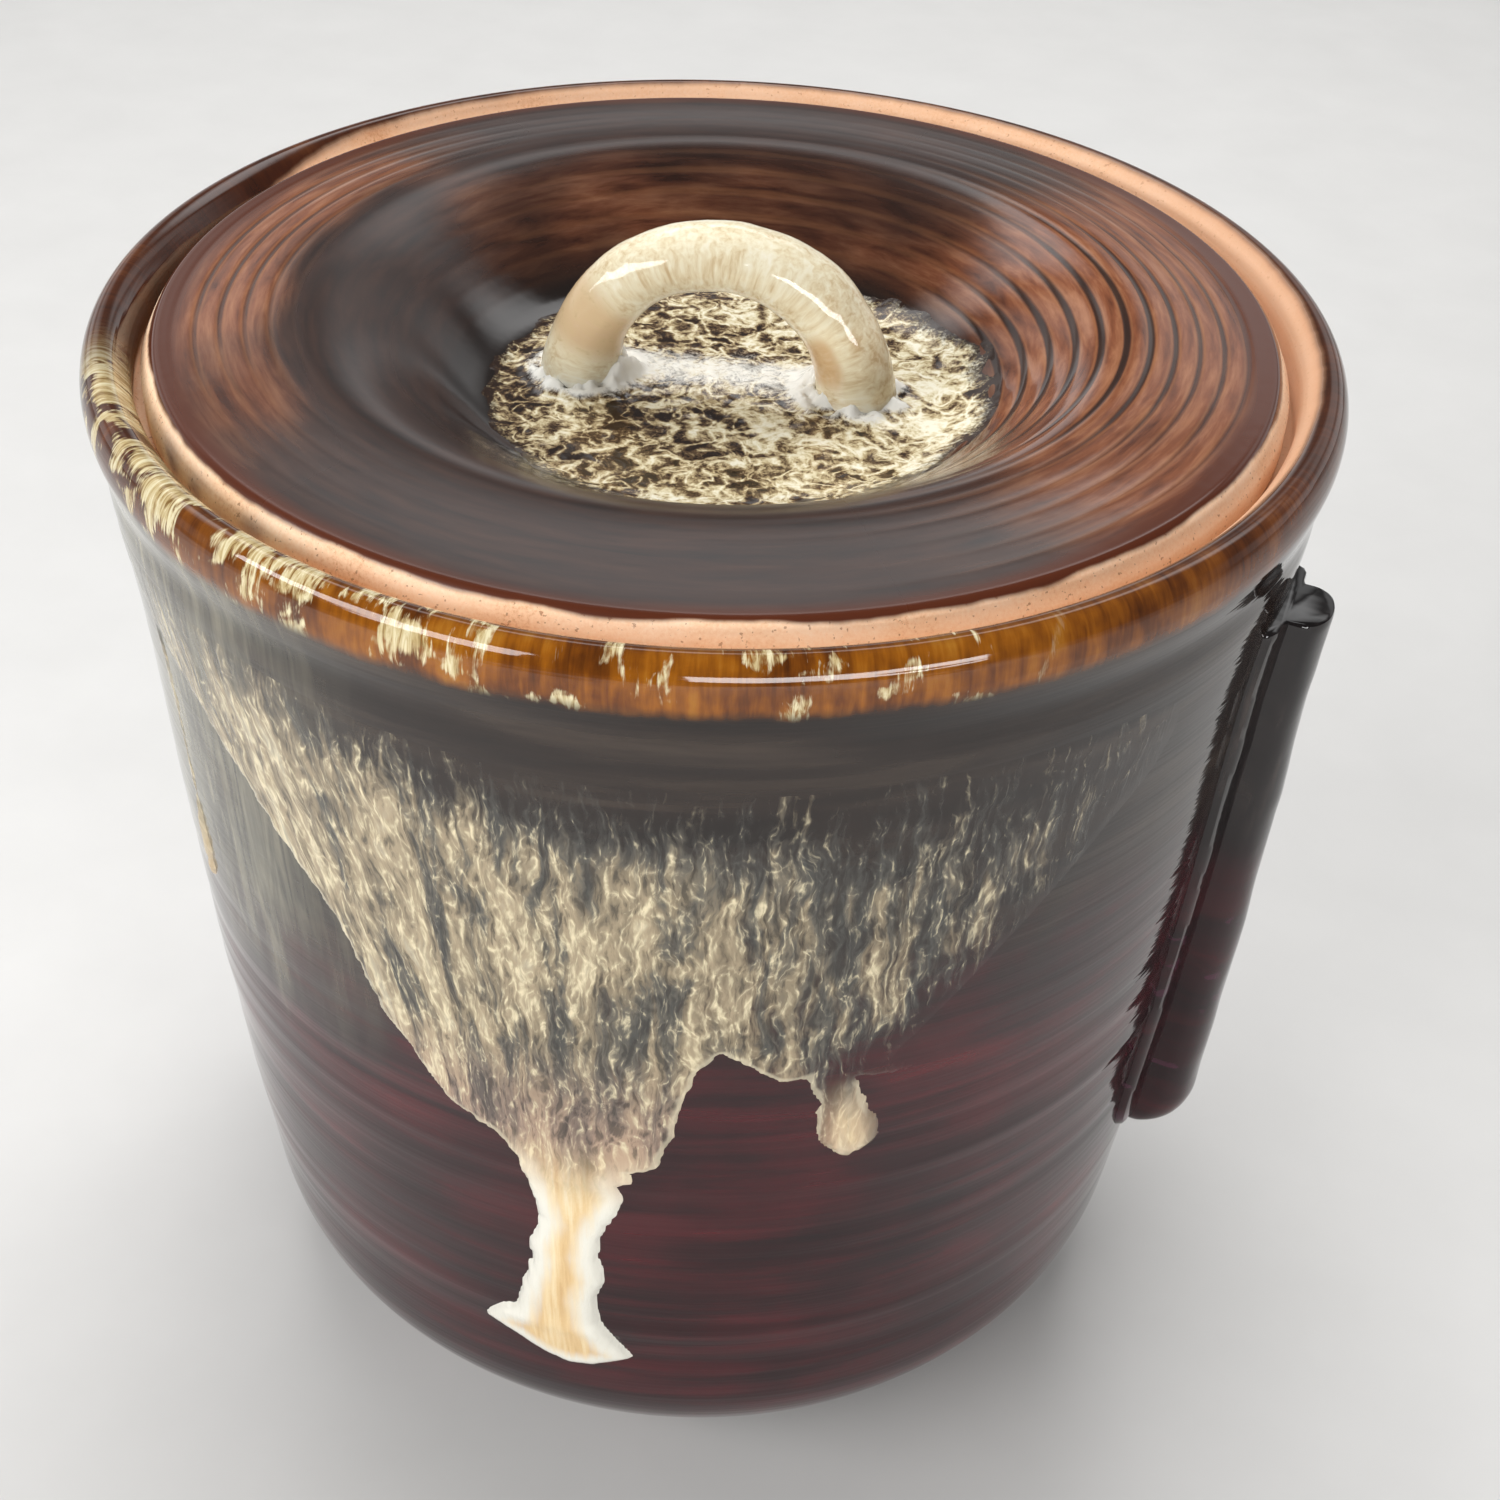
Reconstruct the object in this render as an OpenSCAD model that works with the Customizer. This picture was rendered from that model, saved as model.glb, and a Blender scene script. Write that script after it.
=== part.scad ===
/* [Jar] */
// Height of the jar from its foot to the crest of its lip
body_h = 173; // [165:1:190]
// Widest diameter of the jar, outside the rolled lip
lip_d = 178.4; // [174:0.2:188]
// How far the neck, where the wall starts to flare, is set in from the outside of the lip
neck_in = 4.5; // [2.2:0.1:8.2]
// Height of the neck above the foot
neck_h = 129; // [118:1:138]
// How far the wall just above the rounded bottom is set in from the outside of the lip
waist_in = 13.2; // [9.2:0.1:17.2]
// Radius that rounds the wall into the base
base_round = 28; // [20:1:32]
// Lean of the wall from upright where it leaves the rounded bottom, in degrees
waist_lean = 7; // [3:0.5:10]
// Lean of the wall from upright at the neck, in degrees
neck_lean = 3; // [1:0.5:5]
// Lean of the wall from upright where it runs into the lip, in degrees
lip_lean = 10; // [5:0.5:14]
// Thickness of the thrown wall
wall_t = 8; // [6:0.5:10]
// Thickness of the floor above the foot recess
floor_t = 8; // [6:0.5:12]
// Radius that rounds the inside of the wall into the floor
inside_round = 22; // [14:1:28]
// Width of the foot ring that the jar stands on
foot_w = 6; // [4:0.5:10]
// Depth of the recess inside the foot ring
foot_recess = 2; // [1:0.5:3]

/* [Lip and lid seat] */
// Radius of the rolled outer edge of the lip
lip_round = 2.8; // [2:0.1:3.2]
// Slope of the bare bevel inside the lip, in degrees from level
bevel_slope = 50; // [35:1:65]
// Thickness of the lip between its outside and the lid seat
lip_t = 6.8; // [6.2:0.1:7.6]
// Depth of the lid's ledge below the crest of the lip
seat_depth = 8.5; // [7:0.5:11]
// Width of the ledge that carries the lid
ledge_w = 8; // [6:0.5:10]
// Height of the sloped underside that carries the ledge
ledge_drop = 20; // [14:1:28]

/* [Lid] */
// Gap all round between the lid and its seat
lid_gap = 1.4; // [0.8:0.1:2]
// Height of the upright bare edge of the lid
lid_edge_h = 5.3; // [4:0.1:7]
// Width of the bare slope round the lid's top edge
lid_slope_w = 2.5; // [1.5:0.1:4]
// Height of the bare slope round the lid's top edge
lid_slope_h = 3.1; // [2:0.1:4]
// Diameter of the lid's crown, the highest ring of its top
crown_d = 120; // [108:1:130]
// Rise of the crown above the lid's top edge
crown_h = 1.2; // [0.4:0.1:3]
// Diameter of the flat floor of the sunken well
well_d = 62; // [60:1:70]
// Depth of the well below the crown
well_depth = 14; // [9:0.5:16]
// Thickness of the lid under the well
lid_t = 7; // [5:0.5:9]
// Diameter of the lid's underside bulge where it meets the flat rim
bulge_d = 116; // [106:1:124]
// Number of throwing grooves round the lid's top
groove_n = 11; // [6:1:14]
// Depth of each throwing groove
groove_depth = 0.35; // [0.1:0.05:0.6]
// Width of the plain band between the lid's top edge and the first groove
groove_margin = 2; // [1:0.5:6]
// Angle that the loose lid is set at, turned from the line of the ears
lid_turn = 17; // [-90:1:90]

/* [Lid handle] */
// Radius of the handle's loop at the middle of the rod
loop_r = 20.2; // [18:0.1:21]
// Diameter of the handle's rod
rod_d = 10.2; // [8:0.2:12]
// Spread of the clay smeared round each foot of the handle
smear_w = 3.2; // [2:0.1:4]

/* [Ears] */
// Height of each ear's cut top above the foot
ear_top_h = 149; // [140:1:154]
// Height of each ear's lower tip above the foot
ear_tip_h = 46; // [38:1:60]
// Width of the pressed-on flange of each ear
ear_flange_w = 20; // [16:1:28]
// Thickness of the flange
ear_flange_t = 1.6; // [1:0.1:2.4]
// Width of the ear's rounded ridge
ear_ridge_w = 10.4; // [8:0.2:13]
// Reach of the ridge from the wall at the top
ear_top_reach = 6.8; // [5:0.1:9]
// Reach of the ridge from the wall near the tip
ear_tip_reach = 9.2; // [6:0.1:11]
// Length of the rounded end at the tip
ear_tip_l = 9; // [6:0.5:14]

/* [Poured glaze] */
// Thickness of a run at its bead, where it stopped
glaze_bead_t = 1.7; // [0.8:0.1:2.5]
// Thickness of a run at its top, where it leaves the glaze coat
glaze_root_t = 0.25; // [0.15:0.05:0.5]
// Drop of a bead's middle below its two tips
bead_sag = 4; // [0.5:0.1:5]
// Rise of a root's middle above its two corners
root_rise = 6; // [1:0.5:8]
// Angle of the long run, from the front towards the right ear
long_run_angle = 11; // [-20:1:20]
// Height of the long run's bead above the foot
long_run_low_h = 30; // [28:1:40]
// Length of the long run
long_run_l = 66; // [50:1:76]
// Width of the long run's stem
long_run_w = 10.5; // [8:0.5:14]
// Width of the long run's flared bead
long_bead_w = 24; // [18:0.5:28]
// Width of the long run's root
long_root_w = 30; // [22:0.5:36]
// Angle of the short run, from the front towards the right ear
short_run_angle = 38.5; // [30:0.5:48]
// Height of the short run's bead above the foot
short_run_low_h = 83; // [76:1:92]
// Length of the short run
short_run_l = 21; // [16:1:28]
// Width of the short run's stem
short_run_w = 8; // [6:0.5:10]
// Width of the short run's bead
short_bead_w = 9.5; // [7:0.5:12]
// Width of the short run's root
short_root_w = 16; // [11:0.5:20]

/* [Hidden] */
$fn = 96;

// Number of straight steps that stand for each curve of a profile
curve_steps = 14;
// Number of steps along each side of a glaze run, and from the middle of its end to each corner
run_steps = 14;
end_steps = 5;
// Shares of a run's length that its flared bead and its spreading root take up
bead_share = 0.2;
root_share = 0.4;
// How far an ear reaches into the wall before it is cut to fit
past = 3;
// Share of the spacing of the throwing grooves that a groove is wide
groove_share = 0.5;
half_turn = 180;
quarter_turn = 90;

// Radii and heights that follow from the sizes above
lip_r = lip_d / 2;
lip_centre_r = lip_r - lip_round;
lip_centre_h = body_h - lip_round;
lip_low_r = lip_centre_r + lip_round * cos(lip_lean);
lip_low_h = lip_centre_h - lip_round * sin(lip_lean);
neck_r = lip_r - neck_in;
waist_r = lip_r - waist_in;
waist_h = base_round * (1 - sin(waist_lean));
base_centre_r = waist_r - base_round * cos(waist_lean);
foot_in_r = base_centre_r - foot_w;
floor_h = foot_recess + floor_t;
seat_r = lip_r - lip_t;
seat_h = body_h - seat_depth;
ledge_r = seat_r - ledge_w;
lid_r = seat_r - lid_gap;
lid_top_r = lid_r - lid_slope_w;
lid_top_h = seat_h + lid_edge_h + lid_slope_h;
crown_r = crown_d / 2;
well_r = well_d / 2;
well_h = lid_top_h + crown_h - well_depth;
rod_r = rod_d / 2;

// Smooth step from 0 to 1, level at both ends
function ease(t) = t * t * (3 - 2 * t);

// Radius at height z of a curve from (r0, z0) to (r1, z1) that leans by a0 and a1 at its ends
function lean_curve(r0, z0, a0, r1, z1, a1, z) =
    let (t = (z - z0) / (z1 - z0), l = z1 - z0, s0 = tan(a0), s1 = tan(a1))
    r0 + (r1 - r0) * ease(t) + l * s0 * t * (1 - t) * (1 - t) - l * s1 * t * t * (1 - t);

// Outside radius of the wall at height z, from the base to the lip
function wall_r(z) =
    z < waist_h ? base_centre_r + sqrt(max(0, base_round * base_round - pow(base_round - z, 2)))
    : z < neck_h ? lean_curve(waist_r, waist_h, waist_lean, neck_r, neck_h, neck_lean, z)
    : lean_curve(neck_r, neck_h, neck_lean, lip_low_r, lip_low_h, lip_lean, z);

// Points of an arc, turning from angle a0 to a1
function arc(r, z, radius, a0, a1) =
    [for (i = [0 : curve_steps])
        let (a = a0 + (a1 - a0) * i / curve_steps)
        [r + radius * cos(a), z + radius * sin(a)]];

// Points up the outside of the wall between two heights, without the last one
function wall_points(z0, z1) =
    [for (i = [0 : curve_steps - 1])
        let (z = z0 + (z1 - z0) * i / curve_steps)
        [wall_r(z), z]];

base_arc = arc(base_centre_r, base_round, base_round, -quarter_turn, -waist_lean);
lip_arc = arc(lip_centre_r, lip_centre_h, lip_round, -lip_lean, quarter_turn + bevel_slope);
outer_points = concat(
    base_arc,
    [for (i = [1 : curve_steps - 1]) wall_points(waist_h, neck_h)[i]],
    wall_points(neck_h, lip_low_h),
    lip_arc);

// The bevel runs on from the end of the lip's arc down to the seat
bevel_start = lip_arc[curve_steps];
bevel_low_h = bevel_start[1] - (bevel_start[0] - seat_r) * tan(bevel_slope);

inside_low_h = floor_h + inside_round;
inside_high_h = seat_h - ledge_drop;
inside_low_r = wall_r(inside_low_h) - wall_t;
inside_wall = [for (i = [0 : curve_steps])
    let (z = inside_high_h + (inside_low_h - inside_high_h) * i / curve_steps)
    [wall_r(z) - wall_t, z]];
inside_arc = [for (i = [1 : curve_steps])
    let (a = -quarter_turn * i / curve_steps)
    [inside_low_r - inside_round + inside_round * cos(a), inside_low_h + inside_round * sin(a)]];

// The jar's outer form without its hollow, which the ears are fitted to
module outer_form() {
    rotate_extrude()
        polygon(concat([[0, 0]], outer_points, [[0, bevel_start[1]]]));
}

module jar_body() {
    color("#3a2420")
        rotate_extrude()
            polygon(concat(
                [[0, foot_recess], [foot_in_r - foot_recess, foot_recess], [foot_in_r, 0]],
                outer_points,
                [[seat_r, bevel_low_h], [seat_r, seat_h], [ledge_r, seat_h]],
                inside_wall,
                inside_arc,
                [[0, floor_h]]));
}

// Radii of the ridge's outer line at the ear's tip and at its top, and its lean from upright
ear_tip_r = wall_r(ear_tip_h) + ear_tip_reach;
ear_top_r = wall_r(ear_top_h) + ear_top_reach;
ear_lean = atan2(ear_top_r - ear_tip_r, ear_top_h - ear_tip_h);
ridge_r = ear_ridge_w / 2;

// The front outline of a strip of clay with a round lower end, drawn out from the jar's middle
module strip_front(width) {
    rotate([quarter_turn, 0, quarter_turn])
        linear_extrude(2 * lip_r) {
            translate([0, ear_tip_h + width / 2])
                circle(width / 2);
            translate([-width / 2, ear_tip_h + width / 2])
                square([width, ear_top_h - ear_tip_h]);
        }
}

// The strip pressed flat onto the wall
module ear_flange() {
    coat = [for (i = [0 : curve_steps])
        let (z = ear_tip_h + (ear_top_h - ear_tip_h) * i / curve_steps)
        [wall_r(z), z]];
    intersection() {
        rotate_extrude()
            polygon(concat(
                [for (p = coat) [p[0] - past, p[1]]],
                [for (i = [curve_steps : -1 : 0]) [coat[i][0] + ear_flange_t, coat[i][1]]]));
        strip_front(ear_flange_w);
    }
}

// The ridge seen from the side: cut off square at the top and rounded at the tip
module ear_side() {
    translate([ear_tip_r - ear_tip_l, ear_tip_h + ear_tip_l])
        circle(ear_tip_l);
    translate([ear_tip_r - ear_tip_l - ear_flange_w, ear_tip_h])
        square([ear_flange_w, ear_top_h - ear_tip_h]);
    translate([ear_tip_r - ear_tip_l, ear_tip_h + ear_tip_l])
        square([ear_tip_l + ear_top_r, ear_top_h - ear_tip_h - ear_tip_l]);
}

// The ridge drawn up from the strip: a round-fronted bar that leans with the wall
module ear_ridge() {
    intersection() {
        translate([ear_tip_r, 0, ear_tip_h])
            rotate([0, ear_lean, 0])
                translate([-ridge_r, 0, -past])
                    linear_extrude(ear_top_h) {
                        circle(ridge_r);
                        translate([-ear_flange_w, -ridge_r])
                            square([ear_flange_w, ear_ridge_w]);
                    }
        rotate([quarter_turn, 0, 0])
            translate([0, 0, -ear_flange_w])
                linear_extrude(2 * ear_flange_w)
                    ear_side();
        strip_front(ear_ridge_w);
    }
}

module ear() {
    difference() {
        union() {
            ear_flange();
            ear_ridge();
        }
        outer_form();
    }
}

module right_ear() {
    color("#40201f")
        ear();
}

module left_ear() {
    color("#40201f")
        rotate([0, 0, half_turn])
            ear();
}

// Height of the lid's top at radius r, before the throwing grooves
function lid_top(r) =
    r > crown_r
        ? lid_top_h + crown_h * ease((lid_top_r - r) / (lid_top_r - crown_r))
        : lid_top_h + crown_h - well_depth * ease(min(1, (crown_r - r) / (crown_r - well_r)));

groove_out_r = lid_top_r - groove_margin;
groove_in_r = (crown_r + well_r) / 2;
groove_step = (groove_out_r - groove_in_r) / groove_n;

// The lid's top from the edge to the well: each groove has its two sides and its bottom
lid_top_points = concat(
    [[lid_top_r, lid_top_h]],
    [for (i = [0 : groove_n - 1], side = [0, 1, 2])
        let (r = groove_out_r - groove_step * (i + side * groove_share / 2))
        [r, lid_top(r) - (side == 1 ? groove_depth : 0)]],
    [for (i = [0 : curve_steps])
        let (r = groove_in_r + (well_r - groove_in_r) * i / curve_steps)
        [r, lid_top(r)]]);

lid_bulge_r = bulge_d / 2;
lid_low_r = well_r - smear_w;
lid_under_points = [for (i = [0 : curve_steps])
    let (t = i / curve_steps, r = lid_low_r + (lid_bulge_r - lid_low_r) * t)
    [r, well_h - lid_t + (seat_h - well_h + lid_t) * ease(t)]];

module lid() {
    color("#2e211d")
        rotate_extrude()
            polygon(concat(
                [[0, well_h - lid_t]],
                lid_under_points,
                [[lid_r - lid_gap, seat_h], [lid_r, seat_h + lid_gap], [lid_r, seat_h + lid_edge_h]],
                lid_top_points,
                [[0, well_h]]));
}

// The smear of clay that joins one foot of the handle to the lid
module handle_smear() {
    rotate_extrude()
        difference() {
            square([rod_r + smear_w, smear_w]);
            translate([rod_r + smear_w, smear_w])
                circle(smear_w);
        }
}

module lid_handle() {
    color("#d8c8a4")
        translate([0, 0, well_h])
            rotate([0, 0, lid_turn]) {
                rotate([quarter_turn, 0, 0])
                    rotate_extrude(angle = half_turn)
                        translate([loop_r, 0])
                            circle(rod_r);
                for (side = [-1, 1])
                    translate([side * loop_r, 0, 0])
                        handle_smear();
            }
}

// Half the width of a run, a share t of the way up from its bead to its root
function run_half(t, stem_w, bead_w, root_w) =
    t < bead_share
        ? stem_w / 2 + (bead_w - stem_w) / 2 * (1 - ease(t / bead_share))
    : t > 1 - root_share
        ? stem_w / 2 + (root_w - stem_w) / 2 * ease((t - 1 + root_share) / root_share)
    : stem_w / 2;

// Points across one end of a run, from its corner on one side (-1 or 1) to the other, bowed at its middle
function run_end(half, corner_h, middle_h, side) =
    [for (i = [-end_steps : end_steps])
        let (t = i / end_steps)
        [side * half * t, middle_h + (corner_h - middle_h) * t * t]];

// A run of glaze that hangs on the wall: thin at the root, thick at the bead where it stopped
module glaze_run(angle, low_h, length, stem_w, bead_w, root_w) {
    tip_h = low_h + bead_sag;
    root_h = low_h + length - root_rise;
    side = [for (i = [1 : run_steps - 1])
        let (t = i / run_steps)
        [run_half(t, stem_w, bead_w, root_w), tip_h + (root_h - tip_h) * t]];
    outline = concat(
        run_end(bead_w / 2, tip_h, low_h, 1),
        side,
        run_end(root_w / 2, root_h, low_h + length, -1),
        [for (i = [len(side) - 1 : -1 : 0]) [-side[i][0], side[i][1]]]);
    coat = [for (i = [0 : curve_steps])
        let (t = i / curve_steps, z = low_h + length * t)
        [wall_r(z), z, glaze_bead_t + (glaze_root_t - glaze_bead_t) * ease(t)]];
    skin = concat(
        [for (p = coat) [p[0], p[1]]],
        [for (i = [curve_steps : -1 : 0]) [coat[i][0] + coat[i][2], coat[i][1]]]);
    rotate([0, 0, angle - quarter_turn])
        intersection() {
            rotate_extrude()
                polygon(skin);
            rotate([quarter_turn, 0, quarter_turn])
                linear_extrude(2 * lip_r)
                    polygon(outline);
        }
}

module long_glaze_run() {
    color("#d9c9a8")
        glaze_run(long_run_angle, long_run_low_h, long_run_l, long_run_w, long_bead_w, long_root_w);
}

module short_glaze_run() {
    color("#d9c9a8")
        glaze_run(short_run_angle, short_run_low_h, short_run_l, short_run_w, short_bead_w, short_root_w);
}

jar_body();
right_ear();
left_ear();
lid();
lid_handle();
long_glaze_run();
short_glaze_run();
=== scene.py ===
import math

import bpy
import numpy as np
from mathutils import Matrix, Vector, noise


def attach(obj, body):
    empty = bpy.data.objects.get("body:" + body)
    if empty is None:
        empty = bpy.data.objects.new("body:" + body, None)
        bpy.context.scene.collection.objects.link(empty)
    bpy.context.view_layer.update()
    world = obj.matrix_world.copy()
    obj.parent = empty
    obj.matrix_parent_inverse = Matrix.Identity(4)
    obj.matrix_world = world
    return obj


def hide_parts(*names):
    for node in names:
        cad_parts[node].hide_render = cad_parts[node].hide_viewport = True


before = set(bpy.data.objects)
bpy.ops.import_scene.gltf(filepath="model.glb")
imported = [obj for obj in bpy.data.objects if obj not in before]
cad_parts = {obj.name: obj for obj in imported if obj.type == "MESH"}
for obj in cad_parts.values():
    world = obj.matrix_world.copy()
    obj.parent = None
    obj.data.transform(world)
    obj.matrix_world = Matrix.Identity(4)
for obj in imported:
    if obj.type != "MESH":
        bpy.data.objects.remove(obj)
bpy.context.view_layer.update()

mm = 0.001
turn = 2 * math.pi
viewAzimuth = 24.0  # degrees round the jar where the camera stands


# small helpers

def toLinear(hexColour):
    # an sRGB hex as a glaze chart gives it, turned to the linear colour that a shader wants
    parts = [int(hexColour[i:i + 2], 16) / 255 for i in (1, 3, 5)]
    return [c / 12.92 if c <= 0.04045 else ((c + 0.055) / 1.055) ** 2.4 for c in parts] + [1.0]


# nodes that come up all the time: kind, settings, sockets for the values in order, output
usualNodes = dict(
    plus=("Math", dict(operation="ADD"), (0, 1), 0),
    minus=("Math", dict(operation="SUBTRACT"), (0, 1), 0),
    times=("Math", dict(operation="MULTIPLY"), (0, 1), 0),
    larger=("Math", dict(operation="MAXIMUM"), (0, 1), 0),
    size=("Math", dict(operation="ABSOLUTE"), (0,), 0),
    fade=("MapRange", dict(interpolation_type="SMOOTHSTEP"), (0, 1, 2, 3, 4), 0),
    blend=("Mix", dict(data_type="RGBA"), (0, 6, 7), 2),
    ramp=("ValToRGB", {}, (0,), 0),
    shift=("VectorMath", dict(operation="MULTIPLY_ADD"), (0, 1, 2), 0),
    dot=("VectorMath", dict(operation="DOT_PRODUCT"), (0, 1), "Value"))


def add(kind, *values, stops=(), give=0, **settings):
    # one node in the tree at hand, with its settings, links and colour stops; gives one of its outputs
    inputs = values[0] if values else {}
    if kind in usualNodes:
        kind, usual, sockets, give = usualNodes[kind]
        settings.update(usual)
        inputs = dict(zip(sockets, values))
    node = tree.nodes.new("ShaderNode" + kind)
    for name, value in settings.items():
        setattr(node, name, value)
    for place, value in inputs.items():
        if isinstance(value, bpy.types.NodeSocket):
            tree.links.new(value, node.inputs[place])
        else:
            node.inputs[place].default_value = toLinear(value) if isinstance(value, str) else value
    if stops:
        ramp = node.color_ramp
        while len(ramp.elements) < len(stops):
            ramp.elements.new(1.0)
        for element, (place, colour) in zip(ramp.elements, stops):
            element.position = place
            element.color = toLinear(colour)
    return node.outputs[give]


def clearSelection():
    if bpy.context.object and bpy.context.object.mode != "OBJECT":
        bpy.ops.object.mode_set(mode="OBJECT")
    bpy.ops.object.select_all(action="DESELECT")


def openPiece(piece):
    clearSelection()
    piece.select_set(True)
    bpy.context.view_layer.objects.active = piece
    bpy.ops.object.mode_set(mode="EDIT")


def pickPoints(piece, chosen):
    # the piece is opened with only the chosen vertices selected
    openPiece(piece)
    bpy.ops.mesh.select_mode(type="VERT")
    bpy.ops.mesh.select_all(action="DESELECT")
    bpy.ops.object.mode_set(mode="OBJECT")
    piece.data.vertices.foreach_set("select", chosen)
    bpy.ops.object.mode_set(mode="EDIT")


def closePiece():
    # all faces of the open piece are turned outwards
    bpy.ops.mesh.select_all(action="SELECT")
    bpy.ops.mesh.normals_make_consistent(inside=False)
    bpy.ops.object.mode_set(mode="OBJECT")


def giveBack(piece, depth):
    # a skin of glaze gets a back inside the clay that it lies on
    shell = piece.modifiers.new("back", "SOLIDIFY")
    shell.thickness = depth * mm
    shell.offset = -1
    bpy.ops.object.modifier_apply(modifier="back")
    bpy.ops.object.shade_smooth()


def ease(t):
    t = np.clip(t, 0, 1)
    return t * t * (3 - 2 * t)


def fadeOut(value, start, over):
    # 1 up to the start, then down to 0
    return 1 - ease((value - start) / over)


def hump(value, middle, spread):
    # 1 at the middle, falling away to both sides
    return np.exp(-((value - middle) / spread) ** 2)


def getPoints(piece):
    flat = np.empty(len(piece.data.vertices) * 3, np.float32)
    piece.data.vertices.foreach_get("co", flat)
    return flat.reshape(-1, 3).astype(float)


def setPoints(piece, points):
    piece.data.vertices.foreach_set("co", np.ascontiguousarray(points, np.float32).ravel())
    piece.data.update()


def storeField(piece, name, values):
    kind = "FLOAT_VECTOR" if np.ndim(values) == 2 else "FLOAT"
    field = piece.data.attributes.new(name, kind, "POINT")
    field.data.foreach_set("vector" if kind == "FLOAT_VECTOR" else "value",
                           np.ascontiguousarray(values, np.float32).ravel())


def spinProfile(name, profile, steps):
    # one vertex is dragged along the profile, then the line is spun like clay on the wheel
    clearSelection()
    bpy.ops.mesh.primitive_plane_add(size=mm)
    piece = bpy.context.object
    piece.name = piece.data.name = name
    bpy.ops.object.mode_set(mode="EDIT")
    bpy.ops.mesh.select_all(action="SELECT")
    bpy.ops.mesh.merge(type="CENTER")
    bpy.ops.transform.translate(value=(profile[0][0] * mm, 0, profile[0][1] * mm))
    for (r0, z0), (r1, z1) in zip(profile, profile[1:]):
        bpy.ops.mesh.extrude_region_move(
            TRANSFORM_OT_translate={"value": ((r1 - r0) * mm, 0, (z1 - z0) * mm)})
    bpy.ops.mesh.select_all(action="SELECT")
    bpy.ops.mesh.spin(steps=steps, angle=turn, center=(0, 0, 0), axis=(0, 0, 1))
    bpy.ops.mesh.select_all(action="SELECT")
    bpy.ops.mesh.remove_doubles(threshold=0.01 * mm)
    closePiece()
    bpy.ops.object.shade_smooth()
    return piece


def finishPiece(piece, material, body, slot, *nodes):
    piece.data.materials.clear()
    piece.data.materials.append(material)
    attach(piece, body)
    if nodes:
        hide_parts(*nodes)
    print("piece", piece.name, len(piece.data.polygons), "faces")


def bearing(points):
    # degrees round the jar: 0 at the front (-Y), 90 at the right ear (+X)
    return np.degrees(np.arctan2(points[:, 0], -points[:, 1]))


# the jar, in mm and degrees

jar = dict(height=173.0, lipRadius=89.2, lipRound=2.8, lipTall=5.0, lipLean=10, neckRadius=84.7,
           neckHeight=129.0, neckLean=3, waistRadius=76.0, waistLean=7, baseRound=28.0, wall=8.0,
           floorHeight=10.0, insideRound=22.0, footInner=42.2, footRecess=2.0, bevelSlope=50,
           seatRadius=82.4, seatHeight=164.5, ledgeRadius=74.4, ledgeDrop=20.0, underLip=0.6,
           underLipHeight=160.5, underLipSpread=3.2, steps=288)


def leanCurve(r0, z0, a0, r1, z1, a1, z):
    length = z1 - z0
    t = np.clip((z - z0) / length, 0, 1)
    s0, s1 = math.tan(math.radians(a0)), math.tan(math.radians(a1))
    return r0 + (r1 - r0) * ease(t) + length * s0 * t * (1 - t) ** 2 - length * s1 * t * t * (1 - t)


lipCentreR = jar["lipRadius"] - jar["lipRound"]
lipCentreZ = jar["height"] - jar["lipTall"]
lipStart = math.atan(math.tan(math.radians(jar["lipLean"])) * jar["lipTall"] / jar["lipRound"])
lipLowR = lipCentreR + jar["lipRound"] * math.cos(lipStart)
lipLowZ = lipCentreZ - jar["lipTall"] * math.sin(lipStart)
waistZ = jar["baseRound"] * (1 - math.sin(math.radians(jar["waistLean"])))
baseCentreR = jar["waistRadius"] - jar["baseRound"] * math.cos(math.radians(jar["waistLean"]))


def wallRadius(z):
    z = np.asarray(z, float)
    low = baseCentreR + np.sqrt(np.maximum(0, jar["baseRound"] ** 2 - (jar["baseRound"] - z) ** 2))
    middle = leanCurve(jar["waistRadius"], waistZ, jar["waistLean"],
                       jar["neckRadius"], jar["neckHeight"], jar["neckLean"], z)
    high = leanCurve(jar["neckRadius"], jar["neckHeight"], jar["neckLean"],
                     lipLowR, lipLowZ, jar["lipLean"], z)
    high = high - jar["underLip"] * hump(z, jar["underLipHeight"], jar["underLipSpread"])
    return np.where(z < waistZ, low, np.where(z < jar["neckHeight"], middle, high))


def arcPoints(r, z, radius, a0, a1, count):
    return [(r + radius * math.cos(math.radians(a)), z + radius * math.sin(math.radians(a)))
            for a in np.linspace(a0, a1, count)]


# the lip is half an ellipse outside, taller than wide, and a plain round inside
lipArc = [(lipCentreR + jar["lipRound"] * math.cos(a), lipCentreZ + jar["lipTall"] * math.sin(a))
          for a in np.linspace(-lipStart, math.pi / 2, 22)]
lipArc += arcPoints(lipCentreR, jar["height"] - jar["lipRound"], jar["lipRound"],
                    90, 90 + jar["bevelSlope"], 9)[1:]
bevelStart = lipArc[-1]
bevelLowZ = bevelStart[1] - (bevelStart[0] - jar["seatRadius"]) * math.tan(math.radians(jar["bevelSlope"]))
insideLowZ = jar["floorHeight"] + jar["insideRound"]
insideHighZ = jar["seatHeight"] - jar["ledgeDrop"]
insideLowR = float(wallRadius(insideLowZ)) - jar["wall"]

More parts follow.
